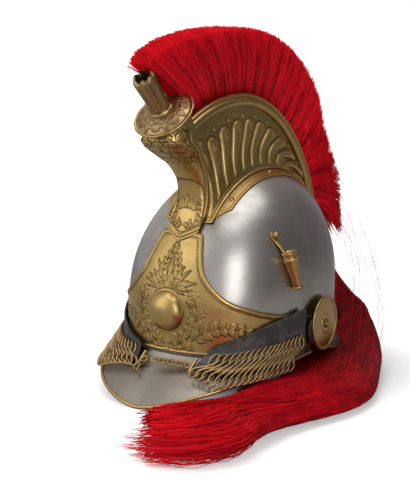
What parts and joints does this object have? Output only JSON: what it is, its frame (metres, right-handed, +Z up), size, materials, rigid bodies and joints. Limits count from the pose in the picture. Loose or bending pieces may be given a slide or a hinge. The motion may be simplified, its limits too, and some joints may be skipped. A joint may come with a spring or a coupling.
{
  "type": "cuirassier helmet",
  "caption": "Steel helmet with brass crest, horsehair brush and mane, brass front plate, peak, neck guard, leather liner and a chain-covered chinstrap that opens on its rosettes.",
  "frame": {"origin": "on the surface the helmet stands on, under the middle of the skull", "axes": "+Z up to the crown, -Y out of the helmet's front, +X towards the wearer's left"},
  "size_m": [0.2941, 0.502, 0.3708],
  "materials": {
    "steel": "worn polished steel",
    "brass": "embossed brass with darker hollows",
    "old_brass": "brass toned by age",
    "leather": "black leather with worn edges",
    "liner_leather": "dark brown liner leather",
    "cord": "twisted linen lace",
    "wood": "dark stained wood",
    "horsehair": "red dyed horsehair"
  },
  "bodies": {
    "helmet": {"skull_shell": "steel", "front_plate": "brass", "visor": "steel", "visor_trim": "brass", "neck_guard": "steel", "neck_guard_trim": "brass", "crest_left_side": "brass", "crest_right_side": "brass", "crest_rim": "brass", "crest_mask": "brass", "tuft_disc": "old_brass", "tuft_socket": "old_brass", "brush_base": "wood", "crest_brush": "horsehair", "mane_block": "wood", "mane": "horsehair", "plume_socket": "brass", "plume_screw": "old_brass", "left_rosette": "brass", "right_rosette": "brass", "rosette_screws": "old_brass", "rosette_nuts": "steel", "crest_screws": "old_brass", "crest_nuts": "steel", "visor_rivets": "brass", "neck_guard_rivets": "steel", "mask_rivet": "brass", "liner_band": "liner_leather", "liner_tongues": "liner_leather", "liner_lace": "cord"},
    "left_tab": {"left_strap_tab": "leather"},
    "left_rear": {"left_strap_rear": "leather", "left_rear_links": "old_brass"},
    "left_front": {"left_strap_front": "leather", "left_front_links": "old_brass", "left_strap_bar": "brass", "ring_chain": "old_brass"},
    "right_tab": {"right_strap_tab": "leather"},
    "right_rear": {"right_strap_rear": "leather", "right_rear_links": "old_brass"},
    "right_front": {"right_strap_front": "leather", "right_front_links": "old_brass", "right_strap_bar": "brass"},
    "hook": {"strap_hook": "old_brass"}
  },
  "joints": [
    {"name": "left_strap_turn", "type": "hinge", "parent": "helmet", "child": "left_tab", "pos_m": [0.09687, 0.0185, 0.0675], "axis": [0.9903, 0.1392, 0], "range_deg": [-21, 0]},
    {"name": "left_strap_swing", "type": "hinge", "parent": "left_tab", "child": "left_rear", "pos_m": [0.10689, -0.01586, 0.04734], "axis": [0, 0, 1], "range_deg": [0, 70]},
    {"name": "left_strap_bend", "type": "hinge", "parent": "left_rear", "child": "left_front", "pos_m": [0.09006, -0.09502, 0.04333], "axis": [-0.1289, 0.7141, 0.6881], "range_deg": [0, 42]},
    {"name": "right_strap_turn", "type": "hinge", "parent": "helmet", "child": "right_tab", "pos_m": [-0.09687, 0.0185, 0.0675], "axis": [0.9903, -0.1392, 0], "range_deg": [0, 21]},
    {"name": "right_strap_swing", "type": "hinge", "parent": "right_tab", "child": "right_rear", "pos_m": [-0.10689, -0.01586, 0.04734], "axis": [0, 0, -1], "range_deg": [0, 70]},
    {"name": "right_strap_bend", "type": "hinge", "parent": "right_rear", "child": "right_front", "pos_m": [-0.09006, -0.09502, 0.04333], "axis": [-0.1289, -0.7141, -0.6881], "range_deg": [0, 42]},
    {"name": "hook_swing", "type": "hinge", "parent": "right_front", "child": "hook", "pos_m": [-0.01989, -0.12666, 0.03798], "axis": [-0.9861, 0.1499, 0.0716], "range_deg": [0, 60]}
  ],
  "couplings": [
    {"joint": "left_strap_turn", "follows": "left_strap_swing", "ratio": -0.3},
    {"joint": "left_strap_bend", "follows": "left_strap_swing", "ratio": 0.6},
    {"joint": "right_strap_turn", "follows": "right_strap_swing", "ratio": 0.3},
    {"joint": "right_strap_bend", "follows": "right_strap_swing", "ratio": 0.6}
  ]
}
